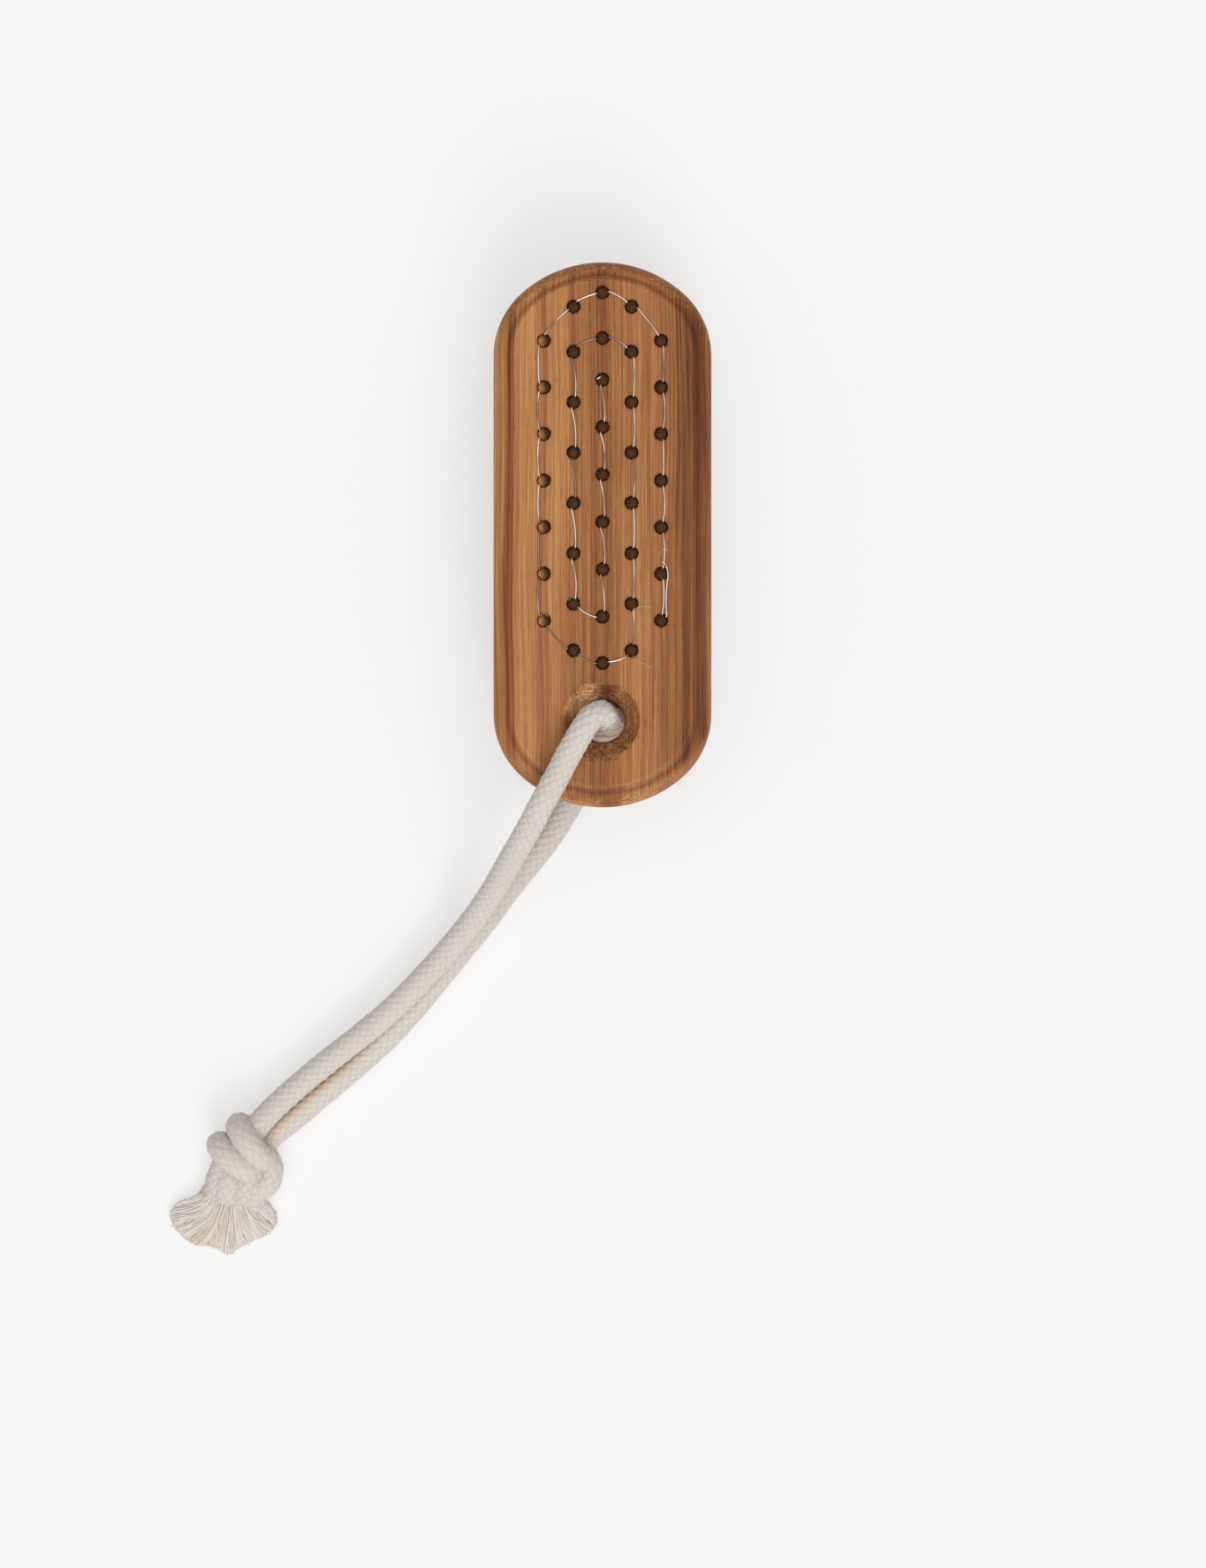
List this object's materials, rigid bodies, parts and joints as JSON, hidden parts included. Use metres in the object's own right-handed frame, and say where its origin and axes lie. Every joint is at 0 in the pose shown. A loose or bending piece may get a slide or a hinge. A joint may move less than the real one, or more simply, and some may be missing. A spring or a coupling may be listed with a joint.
{
  "type": "nail brush",
  "caption": "Wooden nail brush with bristle tufts drawn in by one steel wire, and a knotted cotton cord loop.",
  "frame": {"origin": "on the plane of the bristle tips, under the middle of the wooden stock", "axes": "+Y along the stock, away from the cord hole; +Z from the bristle tips to the stitched back; +X across the stock"},
  "size_m": [0.1031, 0.1862, 0.0373],
  "materials": {
    "wood": "oiled, fine straight grain",
    "bristle": "natural dark hair",
    "steel": "bright drawn wire",
    "cotton": "undyed braided cotton"
  },
  "bodies": {
    "brush": {"stock": "wood", "drawing_wire": "steel", "tuft_01": "bristle", "tuft_02": "bristle", "tuft_03": "bristle", "tuft_04": "bristle", "tuft_05": "bristle", "tuft_06": "bristle", "tuft_07": "bristle", "tuft_08": "bristle", "tuft_09": "bristle", "tuft_10": "bristle", "tuft_11": "bristle", "tuft_12": "bristle", "tuft_13": "bristle", "tuft_14": "bristle", "tuft_15": "bristle", "tuft_16": "bristle", "tuft_17": "bristle", "tuft_18": "bristle", "tuft_19": "bristle", "tuft_20": "bristle", "tuft_21": "bristle", "tuft_22": "bristle", "tuft_23": "bristle", "tuft_24": "bristle", "tuft_25": "bristle", "tuft_26": "bristle", "tuft_27": "bristle", "tuft_28": "bristle", "tuft_29": "bristle", "tuft_30": "bristle", "tuft_31": "bristle", "tuft_32": "bristle", "tuft_33": "bristle", "tuft_34": "bristle", "tuft_35": "bristle", "tuft_36": "bristle", "tuft_37": "bristle", "tuft_38": "bristle", "tuft_39": "bristle"},
    "cord": {"upper_strand": "cotton", "lower_strand": "cotton", "cord_knot": "cotton", "frayed_end_left": "cotton", "frayed_end_right": "cotton"}
  },
  "joints": [
    {"name": "cord_swivel", "type": "hinge", "parent": "brush", "child": "cord", "pos_m": [0, -0.0341, 0.023], "axis": [0, 0, 1], "range_deg": [-50, 129]}
  ]
}
